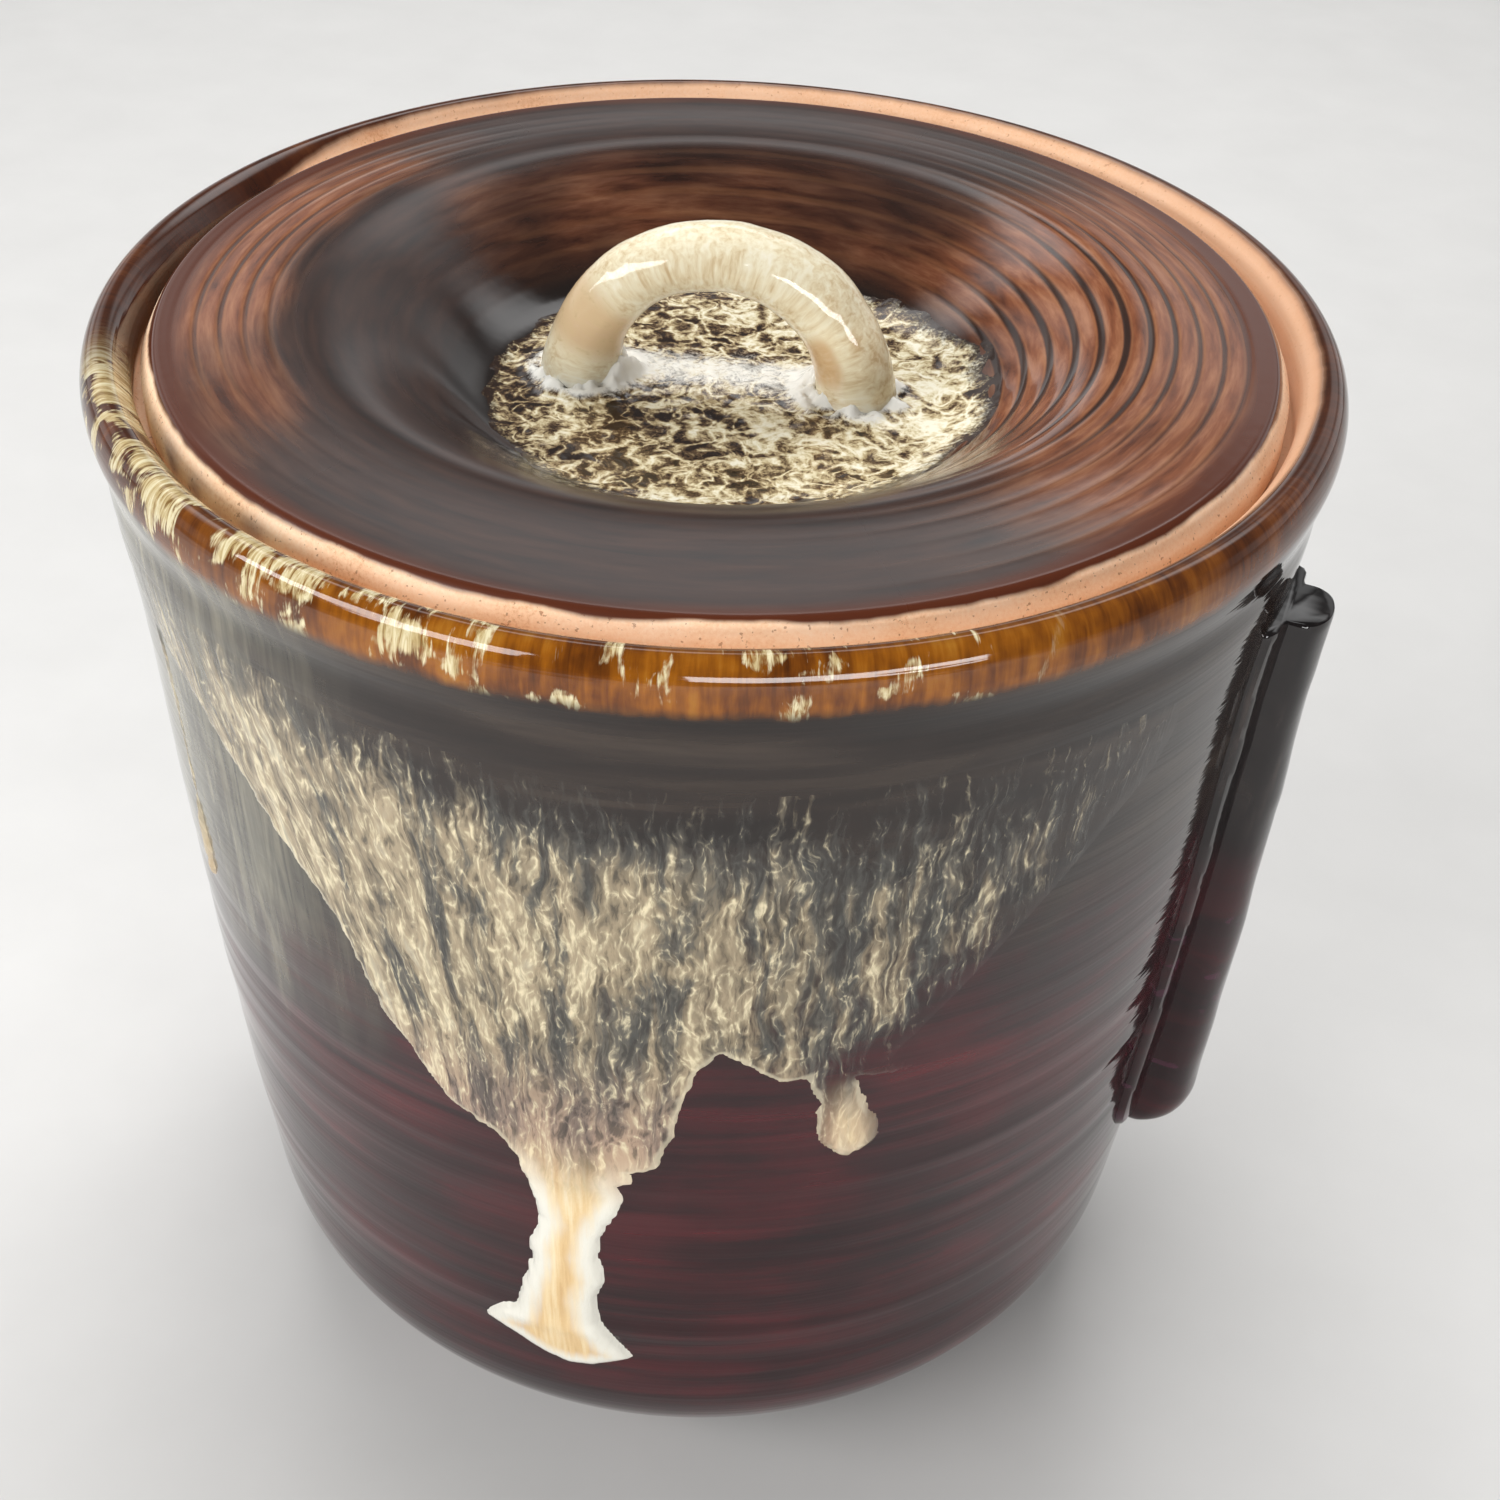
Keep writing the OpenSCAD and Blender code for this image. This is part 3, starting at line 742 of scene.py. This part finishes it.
def hazeWithPaintedReflection(place):
    # a breath of ash glaze over the iron, partly a painted reflection: smoky brown grey, drawn into faint
    # level bands
    bands = mottling(place, 40, 5, 1.3, 4, 0.6, 0.3)
    smokeAndReflection = add("ramp", bands, stops=[(0.3, "#120d0b"), (0.5, "#241b17"), (0.72, "#382e27")])
    # at the left a painted sheen: a pale grey reflection drawn as a thin veil of hanging ash streaks
    hanging = mottling(place, 2.0, 20, 6.6, 5, 0.62, 0.6)
    clouds = add("fade", mottling(place, 12, 22, 15.0, 3), 0.36, 0.6, 0.35, 0.8)
    veil = add("ramp", hanging, stops=[(0.36, "#5d5a51"), (0.5, "#838071"), (0.64, "#a39d88")])
    return add("blend", add("times", azimuthWave(place, -52, 50), clouds), smokeAndReflection, veil)


def clayColour(place):
    # bare stoneware: orange buff with a fine grain
    grain = mottling(place, 0.5, 0.5, 2.0, 5, 0.7)
    drift = mottling(place, 12, 12, 5.0, 2)
    buff = add("ramp", weigh((grain, 0.55), (drift, 0.45)),
               stops=[(0.3, "#d6a27a"), (0.42, "#f3cba6"), (0.56, "#fadabb"), (0.8, "#fde8d2")])
    pits = add("fade", mottling(place, 0.7, 0.7, 11.0, 2), 0.64, 0.7, 0.0, 0.6)
    return add("blend", pits, buff, "#8f6040")


def glazeWaves(place, strength, size=6.0):
    # the faint unevenness of fired glaze, which breaks up mirrored edges
    waves = mottling(place, size, size, 9.0, 2)
    return add("Bump", {"Strength": strength, "Distance": glazeRelief * mm, "Height": waves})


def throwingLines(place):
    # fine level lines that the potter's fingers left under the glaze
    lines = mottling(place, 50, 1.4, 13.0, 2)
    return add("Bump", {"Strength": 0.25, "Distance": glazeRelief * mm, "Height": lines,
                        "Normal": glazeWaves(place, 0.1)})


# the band of haze over the upper wall is partly a painted reflection; its ragged lower edge is painted,
# reaching lower at the left
hazeAndReflection = dict(low=66, high=34, ragged=40, leftDown=20)  # mm below the lip, and how far its edge wanders


def wallColour(place, run):
    # iron glaze below, veiled above the middle of the wall by the ash haze, which is partly a painted
    # reflection with a ragged painted edge
    ragged = wander(mottling(place, 7, 30, 4.0, 4, 0.6), hazeAndReflection["ragged"] * mm)
    here = weigh((run, 1), (ragged, 1), (azimuthWave(place, -38, 52), hazeAndReflection["leftDown"] * mm))
    hazeAndReflectionMask = add("fade", here, (runLip - hazeAndReflection["low"]) * mm, (runLip - hazeAndReflection["high"]) * mm)
    return add("blend", hazeAndReflectionMask, ironGlaze(place), hazeWithPaintedReflection(place))


# dark iron glaze of the jar with the amber lip, the bare lid seat and the bare foot
jarMaterial, tree, shader = newGlaze("darkIronGlaze")
place, run = onProfile()

lipStreaks = mottling(place, 1.0, 9, 2.2, 4, 0.6, 0.3)
lipDrift = mottling(place, 7, 9, 6.0, 3)
lipMix = weigh((lipStreaks, 0.35), (lipDrift, 0.65))
lipAmber = add("ramp", lipMix,
               stops=[(0.32, "#351703"), (0.44, "#633305"), (0.56, "#8c510b"), (0.72, "#aa7424")])
lipDark = add("ramp", lipMix, stops=[(0.3, "#26130b"), (0.55, "#562c16"), (0.8, "#85502c")])
lipBase = add("blend", azimuthWave(place, 22, 62), lipDark, lipAmber)
crest = add("fade", run, (runCrest - 1.4) * mm, (runCrest + 1.4) * mm)
lipBase = add("blend", add("times", crest, 0.6), lipBase, "#341709")

# cream feathers of ash glaze hang from the crest, thickest at the left
feathers = mottling(place, 0.8, 5.0, 8.0, 5, 0.62, 0.9)
tufts = mottling(place, 5.5, 7.0, 21.0, 3, 0.5, 0.5)
hungFrom = add("fade", run, (runLip + 1) * mm, (runCrest - 0.5) * mm, 0.05, 0.25)
hung = add("times", azimuthWave(place, -32, 50), hungFrom)
featherAmount = weigh((feathers, 0.5), (tufts, 1.3), (hung, 1))
featherMask = add("times", add("fade", featherAmount, 1.01, 1.13),
                  add("fade", azimuthWave(place, -2, 60), 0.0, 0.4))
featherColour = add("ramp", feathers, stops=[(0.36, "#7d6238"), (0.48, "#b8a273"), (0.62, "#d8cda8")])
lipColour = add("blend", featherMask, lipBase, featherColour)
lipEdge = add("plus", run, wander(lipDrift, 2.4 * mm))
lipMask = add("fade", lipEdge, (runLip - 1.8) * mm, (runLip + 0.8) * mm)
outerColour = add("blend", lipMask, wallColour(place, run), lipColour)

# the seat's clay fired browner at the right and a little at the back
clay = clayColour(place)
browner = add("times", azimuthWave(place, 195, 80), 0.55)
browner = add("larger", azimuthWave(place, 108, 80), browner)
clay = add("blend", add("times", browner, 0.8), clay, "#d0a484")

# the glaze was wiped off from the bevel down to the ledge, less far at the left, and off the foot
bareRun = weigh((run, 1), (mottling(place, 6, 30, 4.4, 3), 0.9 * mm))
leftGlaze = add("times", azimuthWave(place, -56, 56), 6.5 * mm)
backBare = add("times", azimuthWave(place, 170, 105), 1.6 * mm)
bevelRun = add("plus", add("minus", bareRun, leftGlaze), backBare)
bareStart = add("fade", bevelRun, (runBevel - 0.4) * mm, (runBevel + 1.4) * mm)
warmEdge = add("fade", bevelRun, (runBevel + 0.4) * mm, (runBevel + 3.0) * mm, 0.4, 0.0)
clay = add("blend", warmEdge, clay, "#a8683a")
bareEnd = add("fade", bareRun, (runLedge + 3) * mm, (runLedge + 4) * mm, 1.0, 0.0)
footBare = add("fade", bareRun, (runFoot + 2.2) * mm, (runFoot + 3.0) * mm, 1.0, 0.0)
bareMask = add("larger", add("times", bareStart, bareEnd), footBare)
fire(shader, add("blend", bareMask, outerColour, clay),
     add("fade", bareMask, 0, 1, glassRough, clayRough), throwingLines(place))
finishPiece(body, jarMaterial, "jar", "dark_iron_glaze", "jar_body")


# straw-ash glaze: opaque cream that runs in fur and rivulets, clearing to smoky glass where it thins
ashMaterial, tree, shader = newGlaze("strawAshGlaze")
place, run = onProfile()
inside, stayed, smooth = [add("Attribute", attribute_name=name, give="Fac")
                          for name in ("inside", "cover", "smooth")]
flow = add("Attribute", attribute_name="flow", give="Vector")
flowParts = add("SeparateXYZ", {0: flow}).node.outputs
height = flowParts[2]
sway = mottling(flow, 6, 10, 2.0, 4, 0.5, give="Color")
swayed = add("shift", sway, (4.2 * mm, 0, 3.6 * mm), flow)
fur = mottling(swayed, 0.9, 4.6, 1.0, 4, 0.6, 0.7)
loops = mottling(swayed, 2.0, 5.0, 12.0, 3, 0.6, 1.1, True)
leftward = add("fade", flowParts[0], -60 * mm, -8 * mm, 1.0, 0.0)
patches = weigh((mottling(swayed, 4.5, 20, 5.5, 4, 0.6, 0.6), 1), (leftward, 0.2))
patches = add("minus", patches, add("fade", stayed, 0.3, 0.9, 0.16, 0.0))
fine = weigh((fur, 1.6), (loops, 0.3), (wander(patches, 0.9, 0.44), 1))

# smoky grey above, tan towards the runs, dark between the hairs and cream on them
smoky = add("ramp", patches, stops=[(0.36, "#474642"), (0.44, "#615c52"), (0.52, "#857862"),
                                    (0.64, "#a39378"), (0.78, "#b0a893")])
tan = add("ramp", patches, stops=[(0.34, "#665851"), (0.48, "#977f70"), (0.64, "#b0947e")])
furColour = add("blend", add("fade", height, 84 * mm, 108 * mm, 0.85, 0.0), smoky, tan)
furColour = add("blend", add("fade", fine, 0.78, 1.12, 0.65, 0.0), furColour, "#2f2c28")
furColour = add("blend", add("fade", fine, 1.15, 1.74), furColour, "#dacdab")
hanging = mottling(swayed, 1.5, 18, 31.0, 3, 0.55, 0.3)
veil = weigh((stayed, 1.7), (fine, 0.8), (wander(hanging, 3.0), 1))
furMask = add("fade", veil, 0.9, 2.5)
furred = add("blend", furMask, wallColour(place, run), furColour)

# the runs are smooth and tan with a white edge, and the curtain has a thin pale hem
runDrift = mottling(place, 1.8, 30, 3.3, 4, 0.6, 0.3)
runColour = add("ramp", runDrift,
                stops=[(0.3, "#c49b68"), (0.47, "#dcbd8c"), (0.6, "#e6d0a6"), (0.75, "#eee2c6")])
ashColour = add("blend", smooth, furred, runColour)
whiteEdge = add("fade", add("plus", inside, wander(runDrift, 5.0)), 1.6, 4.6, 1.0, 0.0)
edgeMask = add("times", whiteEdge, add("fade", height, 70 * mm, 90 * mm, 1.0, 0.25))
ashColour = add("blend", add("times", edgeMask, smooth), ashColour, "#e2dfd3")
hem = add("times", add("fade", inside, 0.4, 1.1, 1.0, 0.0), add("fade", stayed, 0.5, 0.8))
hem = add("times", hem, add("fade", smooth, 0.3, 0.7, 0.5, 0.0))
ashColour = add("blend", hem, ashColour, "#d9ceb2")
furRelief = add("Bump", {"Strength": 0.25, "Distance": 0.2 * mm, "Height": add("times", fine, furMask),
                         "Normal": glazeWaves(place, 0.1)})
fire(shader, ashColour, glassRough, furRelief)
finishPiece(curtain, ashMaterial, "jar", "straw_ash_glaze", "long_glaze_run", "short_glaze_run")


# the ears carry the same iron glaze, redder and spotted towards the tip
earMaterial, tree, shader = newGlaze("earIronGlaze")
place, run = onProfile()
streaks = mottling(place, 1.6, 22, 2.0, 4, 0.6)
earHigh = add("ramp", streaks, stops=[(0.35, "#0f0b0c"), (0.55, "#1d1717"), (0.75, "#39302d")])
spots = add("fade", mottling(place, 3.5, 3.5, 4.0, 2), 0.62, 0.68)
earLow = add("blend", spots, ironGlaze(place), "#3d1a2a")
highMask = add("fade", run, (runLip - 80) * mm, (runLip - 50) * mm)
fire(shader, add("blend", highMask, earLow, earHigh), glassRough, glazeWaves(place, 0.2, 4.0))
finishPiece(rightEar, earMaterial, "jar", "dark_iron_glaze", "right_ear")
finishPiece(leftEar, earMaterial, "jar", "dark_iron_glaze", "left_ear")


# brown-black lid glaze, rust red between the grooves, bare clay at the rim and below
lidMaterial, tree, shader = newGlaze("lidIronGlaze")
place = add("TexCoord", give="Object")
groove, bare = [add("Attribute", attribute_name=name, give="Fac") for name in ("groove", "bare")]
parts = add("SeparateXYZ", {0: place}).node.outputs
flatPlace = add("CombineXYZ", {0: parts[0], 1: parts[1]})
radius = add("VectorMath", {0: flatPlace}, operation="LENGTH", give="Value")

# the mottle follows the wheel: round a ring of 50 mm one way, out along the radius the other
onRing = add("VectorMath", {0: flatPlace}, operation="NORMALIZE")
onRing = add("VectorMath", {0: onRing, 1: (50 * mm,) * 3}, operation="MULTIPLY")
onRing = add("VectorMath", {0: onRing, 1: add("CombineXYZ", {2: radius})}, operation="ADD")
mottle = mottling(onRing, 12, 1.8, 3.0, 5, 0.6, 0.3)
sweep = mottling(place, 30, 30, 8.0, 2)
rust = add("ramp", mottle, stops=[(0.3, "#522a19"), (0.5, "#7f4a2f"), (0.7, "#a06c4c")])
black = add("ramp", mottle, stops=[(0.3, "#150d0b"), (0.7, "#2b1812")])
rusty = add("fade", add("plus", bare, add("minus", sweep, 0.5)), 0.1, 0.85, 0.05, 1.0)
lidColour = add("blend", rusty, black, rust)
rim = add("times", add("fade", groove, 0.05, 0.28), add("fade", groove, 0.28, 0.5, 1.0, 0.0))
rim = add("times", rim, add("times", bare, 0.35))
lidColour = add("blend", rim, lidColour, "#9a6a45")
lidColour = add("blend", add("fade", groove, 0.25, 0.75, 0.0, 0.9), lidColour, "#1c1310")
edgeRun = add("plus", radius, wander(mottling(place, 16, 16, 2.0, 3), 1.4 * mm))
thinEdge = add("fade", weigh((edgeRun, 1), (bare, 3 * mm)), 76.0 * mm, 79.4 * mm)
lidColour = add("blend", thinEdge, lidColour, "#512512")
lidColour = add("blend", add("fade", radius, 36 * mm, 44 * mm, 1.0, 0.0), lidColour, "#1b1310")
up = add("SeparateXYZ", {0: add("NewGeometry", give="Normal")}, give=2)
bareMask = add("larger", add("fade", edgeRun, 79.3 * mm, 79.8 * mm), add("fade", up, -0.2, 0.0, 1.0, 0.0))
# where the glaze lies thick it dried to a soft sheen, and it is glassy again round the pool
lidRough = add("times", add("fade", bare, 0.1, 0.6, 0.28, 0.1),
               add("fade", radius, 38 * mm, 48 * mm, 0.3, 1.0))
fire(shader, add("blend", bareMask, lidColour, clayColour(place)),
     add("fade", bareMask, 0, 1, lidRough, clayRough), glazeWaves(place, 0.12))
finishPiece(lidPiece, lidMaterial, "cover", "lid_glaze", "lid")


# straw-ash glaze pooled in the well: cream web over black, milky white where it is thick
poolMaterial, tree, shader = newGlaze("pooledAshGlaze")
place = add("TexCoord", give="Object")
depth, lump = [add("Attribute", attribute_name=name, give="Fac") for name in ("depth", "lump")]
bend = mottling(place, 5, 5, 1.0, 3, 0.5, give="Color")
bent = add("shift", bend, (3 * mm,) * 3, place)
strands = mottling(bent, 0.7, 0.7, 6.0, 5, 0.7, 0.5)
web = mottling(bent, 3.2, 3.2, 2.0, 4, 0.6, 0.8, True)
islands = mottling(place, 6, 6, 4.0, 3, 0.55, 0.6)
# it ran to the right and lies thicker there
rightward = add("dot", place, (2.6, 1.2, 0))
mixed = weigh((web, 0.26), (strands, 0.75), (wander(islands, 0.9), 1), (rightward, 1))
webColour = add("ramp", mixed, stops=[(0.42, "#261a14"), (0.55, "#5d4833"), (0.67, "#b5a17a"),
                                      (0.79, "#e0d4b0"), (0.95, "#f3edd8")])
milk = add("fade", add("plus", lump, wander(strands, 1.2)), 0.55, 1.2)
milky = add("blend", milk, webColour, "#eceae2")
reached = add("fade", add("plus", depth, wander(strands, 6.0)), 0.0, 3.0)
fire(shader, add("blend", reached, "#2a1a12", milky), 0.1, glazeWaves(place, 0.3, 3.0))
finishPiece(glazePool, poolMaterial, "cover", "straw_ash_glaze")


# the handle's straw-ash glaze: cream that slid round the rod in streaks and broke brown over the clay
handleMaterial, tree, shader = newGlaze("handleAshGlaze")
place = add("Attribute", attribute_name="rolled", give="Vector")
streaks = mottling(place, 0.9, 7.0, 1.0, 4, 0.6, 0.5)
mixed = weigh((streaks, 0.6), (mottling(place, 8, 8, 4.0, 3), 0.4))
cream = add("ramp", mixed, stops=[(0.34, "#c4ab85"), (0.46, "#dccdab"), (0.56, "#e7dec2"), (0.7, "#eee8d5")])
# brown where it broke over the clay: outside the left leg and inside the right one, mm along the rod
parts = add("SeparateXYZ", {0: place}).node.outputs
leftLeg, rightLeg = [add("fade", add("size", add("minus", parts[0], middle * mm)),
                         2 * mm, far * mm, 1.0, 0.0) for middle, far in ((53, 9), (9, 8))]
rightLeg = add("times", rightLeg, add("fade", parts[2], -2 * mm, 1.5 * mm, 1.0, 0.0))
legs = add("larger", add("times", leftLeg, 0.8), rightLeg)
broken = add("fade", weigh((legs, 1), (mixed, 1.6)), 1.15, 1.75, 0.0, 0.6)
cream = add("blend", broken, cream, "#bb8a50")
foot = add("Attribute", attribute_name="foot", give="Fac")
milky = add("fade", add("plus", foot, add("minus", streaks, 0.5)), 0.45, 1.1, 0.0, 0.6)
fire(shader, add("blend", milky, cream, "#e2e3dc"), 0.08, glazeWaves(place, 0.15, 4.0))
finishPiece(loop, handleMaterial, "cover", "straw_ash_glaze", "lid_handle")
print("glazed")


# studio: a pale floor, one broad lamp above and behind, two low strips at the left and in front
# each lamp: degrees from the camera's own azimuth, metres away, metres high, size in metres, watts

studio = dict(floorSize=6.0, floorRough=0.7, world="#ffffff", worldStrength=0.15, glow=2.3, horizon=0.7,
              sides=0.6, glowFrom=182, aim=(0, 0, 0.1))
lamps = dict(keyPanel=(178, 0.45, 1.15, (0.9, 0.8), 11.5), leftLamp=(-56, 0.9, 0.5, (0.9, 0.26), 7.0),
             frontPanel=(20, 1.15, 0.33, (1.0, 0.2), 7.5))
camera = dict(azimuth=viewAzimuth, away=293.7, height=318.0, pitch=37.41, yaw=1.378, roll=2.514,
              lens=54.0, sensor=36.0)  # degrees and mm

floorMaterial, tree, shader = newGlaze("paleFloor")
speck = mottling(add("TexCoord", give="Object"), 30, 30, 1.0, 4)
floorColour = add("ramp", speck, stops=[(0.3, "#d6d5d3"), (0.7, "#dad9d7")])
tree.links.new(floorColour, shader.inputs["Base Color"])
shader.inputs["Roughness"].default_value = studio["floorRough"]
clearSelection()
bpy.ops.mesh.primitive_plane_add(size=studio["floorSize"])
floor = bpy.context.object
floor.name = "studioFloor"
floor.data.materials.append(floorMaterial)

for name, (azimuth, away, height, size, power) in lamps.items():
    a = math.radians(camera["azimuth"] + azimuth)
    bpy.ops.object.light_add(type="AREA", location=(away * math.sin(a), -away * math.cos(a), height))
    lamp = bpy.context.object
    lamp.name = name
    lamp.data.shape = "RECTANGLE"
    lamp.data.size, lamp.data.size_y = size
    lamp.data.energy = power
    lamp.rotation_euler = (Vector(studio["aim"]) - lamp.location).to_track_quat("-Z", "Y").to_euler()
    lamp.visible_glossy = name != "keyPanel"  # the lid's dish would mirror it in hard strips

# soft daylight: a pale band behind the jar, dimmer at the horizon and at the sides, dim elsewhere
world = bpy.context.scene.world or bpy.data.worlds.new("studio")
bpy.context.scene.world = world
world.use_nodes = True
tree = world.node_tree
sky = tree.nodes["Background"]
heading = add("TexCoord", give="Generated")
behind = math.radians(camera["azimuth"] + studio["glowFrom"])
backwards = (math.sin(behind), -math.cos(behind), 0)
sideways = (math.cos(behind), math.sin(behind), 0)
away, across = [add("dot", heading, way) for way in (backwards, sideways)]
up = add("SeparateXYZ", {0: heading}, give=2)
band = add("times", add("fade", up, 0.53, 0.67), add("fade", up, 0.73, 0.8, 1.0, 0.0))
glow = add("times", add("fade", away, 0.38, 0.62, 0.0, studio["glow"]), band)
backdrop = add("times", add("fade", away, -0.2, 0.5, 0.0, studio["horizon"]),
               add("fade", up, 0.1, 0.32, 1.0, 0.0))
belt = add("times", add("fade", up, 0.24, 0.36), add("fade", up, 0.44, 0.56, 1.0, 0.0))
sides = add("times", add("fade", add("size", across), 0.1, 0.28, 0.0, studio["sides"]), belt)
sides = add("times", sides, add("fade", away, 0.3, 0.6))
brightness = weigh((glow, 1), (sides, 1), (backdrop, 1))
brightness = add("plus", brightness, studio["worldStrength"])
tree.links.new(brightness, sky.inputs["Strength"])
sky.inputs["Color"].default_value = toLinear(studio["world"])

a = math.radians(camera["azimuth"])
bpy.ops.object.camera_add()
eye = bpy.context.object
eye.data.sensor_width = camera["sensor"]
eye.data.lens = camera["lens"]
eye.data.clip_start = 0.01
eye.matrix_world = (
    Matrix.Translation((camera["away"] * mm * math.sin(a), -camera["away"] * mm * math.cos(a),
                        camera["height"] * mm))
    @ Matrix.Rotation(math.radians(camera["azimuth"] - camera["yaw"]), 4, "Z")
    @ Matrix.Rotation(math.radians(90 - camera["pitch"]), 4, "X")
    @ Matrix.Rotation(math.radians(camera["roll"]), 4, "Z"))
scene = bpy.context.scene
scene.camera = eye
scene.view_settings.view_transform = "Standard"
print("studio lit")
